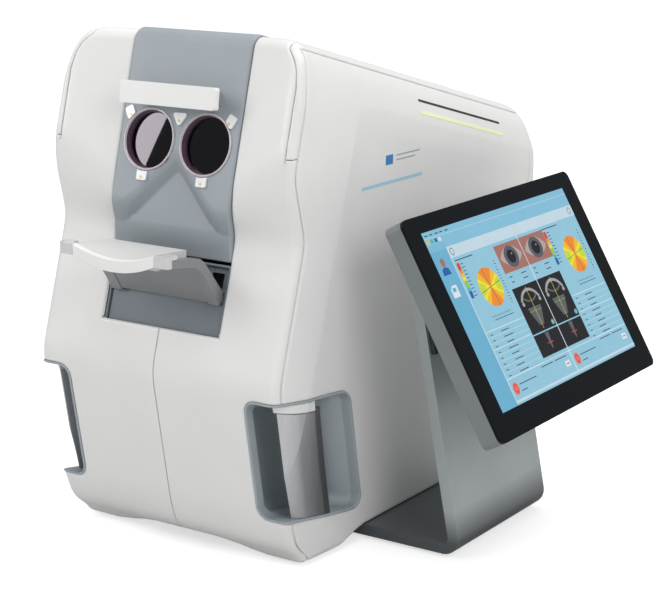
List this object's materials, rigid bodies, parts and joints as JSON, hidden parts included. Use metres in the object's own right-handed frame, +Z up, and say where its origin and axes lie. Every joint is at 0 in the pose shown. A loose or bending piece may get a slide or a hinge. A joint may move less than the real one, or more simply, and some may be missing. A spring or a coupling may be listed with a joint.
{
  "type": "desktop binocular eye-measuring unit",
  "caption": "Table-top eye-measuring unit: white sloped body with grey face panel, eye windows, forehead and chin rests, side grips and a tilting display on a bent strip stand.",
  "frame": {"origin": "on the table plane, under the middle foot of the body, on the mirror plane of the eye windows", "axes": "+Z up, +Y from the patient side to the back, +X to the side with the display"},
  "size_m": [0.4548, 0.538, 0.4784],
  "materials": {
    "white_cover": "satin",
    "grey_panel": "satin",
    "grip_grey": "matte",
    "dark_trim": "matte",
    "rubber_foot": "matte",
    "window_ring": "gloss",
    "window_glass": "polished",
    "lamp_white": "gloss",
    "lamp_amber": "gloss",
    "grip_metal": "brushed",
    "light_green": "diffuse",
    "accent_blue": "print",
    "stand_paint": "powder coat",
    "hinge_metal": "satin",
    "steel": "machined",
    "bracket_grey": "satin",
    "display_grey": "satin",
    "bezel_black": "gloss",
    "screen": "lit picture",
    "frame_alloy": "machined",
    "screw_brass": "machined",
    "head_dark": "anodised",
    "lens_glass": "polished",
    "board_green": "solder mask",
    "base_steel": "powder coat"
  },
  "bodies": {
    "unit": {"base_plate": "base_steel", "foot_pods": "white_cover", "foot_pads": "rubber_foot", "shell_left": "white_cover", "shell_right": "white_cover", "front_cover_left": "white_cover", "front_cover_right": "white_cover", "edge_band_left": "white_cover", "edge_band_right": "white_cover", "top_cover": "white_cover", "rear_cover": "white_cover", "face_panel": "grey_panel", "eye_ring_left": "window_ring", "eye_ring_right": "window_ring", "eye_glass_left": "window_glass", "eye_glass_right": "window_glass", "lamp_pads": "lamp_white", "lamp_dots": "lamp_amber", "forehead_holder": "bracket_grey", "forehead_rest": "white_cover", "chin_well": "grey_panel", "chin_rods": "steel", "grip_liner_left": "grip_grey", "grip_liner_right": "grip_grey", "grip_bars": "grip_metal", "grip_caps": "white_cover", "vent_strips": "dark_trim", "light_guides": "light_green", "accent_stripe": "accent_blue", "stand_strip": "stand_paint", "stand_pads": "rubber_foot", "stand_bolts": "steel", "tilt_base": "hinge_metal", "optic_frame": "frame_alloy", "x_rods": "steel", "main_board": "board_green", "power_supply": "frame_alloy", "fan_frame": "dark_trim", "power_inlet": "dark_trim", "data_ports": "dark_trim"},
    "chin": {"chin_bracket": "bracket_grey", "chin_band": "white_cover", "chin_tabs": "bracket_grey", "chin_cup": "white_cover", "chin_apron": "grey_panel", "chin_carriage": "frame_alloy"},
    "chin_drive": {"chin_screw": "screw_brass"},
    "display": {"tilt_arm": "hinge_metal", "tilt_pin": "steel", "display_back": "display_grey", "display_bezel": "bezel_black", "display_screen": "screen"},
    "head_x": {"x_carriage": "frame_alloy", "z_rods": "steel"},
    "x_drive": {"x_screw": "screw_brass"},
    "head_z": {"optic_head": "head_dark", "head_lens": "lens_glass"},
    "z_drive": {"z_screw": "screw_brass"},
    "fan": {"fan_rotor": "dark_trim"},
    "power_switch": {"rocker_switch": "dark_trim"}
  },
  "joints": [
    {"name": "chin_lift", "type": "slide", "parent": "unit", "child": "chin", "axis": [0, 0.2998, 0.954], "range_m": [-0.018, 0.018]},
    {"name": "chin_screw_turn", "type": "hinge", "parent": "unit", "child": "chin_drive", "pos_m": [0, -0.18393, 0.20341], "axis": [0, 0.2998, 0.954], "range_deg": [-816, 816]},
    {"name": "display_tilt", "type": "hinge", "parent": "unit", "child": "display", "pos_m": [0.221, 0, 0.219], "axis": [0, 1, 0], "range_deg": [-10, 22]},
    {"name": "head_side_travel", "type": "slide", "parent": "unit", "child": "head_x", "axis": [1, 0, 0], "range_m": [-0.033, 0.033]},
    {"name": "x_screw_turn", "type": "hinge", "parent": "unit", "child": "x_drive", "pos_m": [0, 0.12, 0.272], "axis": [1, 0, 0], "range_deg": [-1194, 1194]},
    {"name": "head_lift", "type": "slide", "parent": "head_x", "child": "head_z", "axis": [0, 0, 1], "range_m": [-0.015, 0.012]},
    {"name": "z_screw_turn", "type": "hinge", "parent": "head_x", "child": "z_drive", "pos_m": [0, 0.052, 0.35], "axis": [0, 0, 1], "range_deg": [-906, 726]},
    {"name": "fan_spin", "type": "hinge", "parent": "unit", "child": "fan", "pos_m": [-0.06, 0.22, 0.24], "axis": [0, 1, 0], "continuous": true},
    {"name": "power_rocker", "type": "hinge", "parent": "unit", "child": "power_switch", "pos_m": [0.1005, 0.239, 0.068], "axis": [1, 0, 0], "range_deg": [-5, 5]}
  ],
  "couplings": [
    {"joint": "chin_screw_turn", "follows": "chin_lift", "rad_per_m": 785.4},
    {"joint": "x_screw_turn", "follows": "head_side_travel", "rad_per_m": 628.32},
    {"joint": "z_screw_turn", "follows": "head_lift", "rad_per_m": 1047.2}
  ]
}
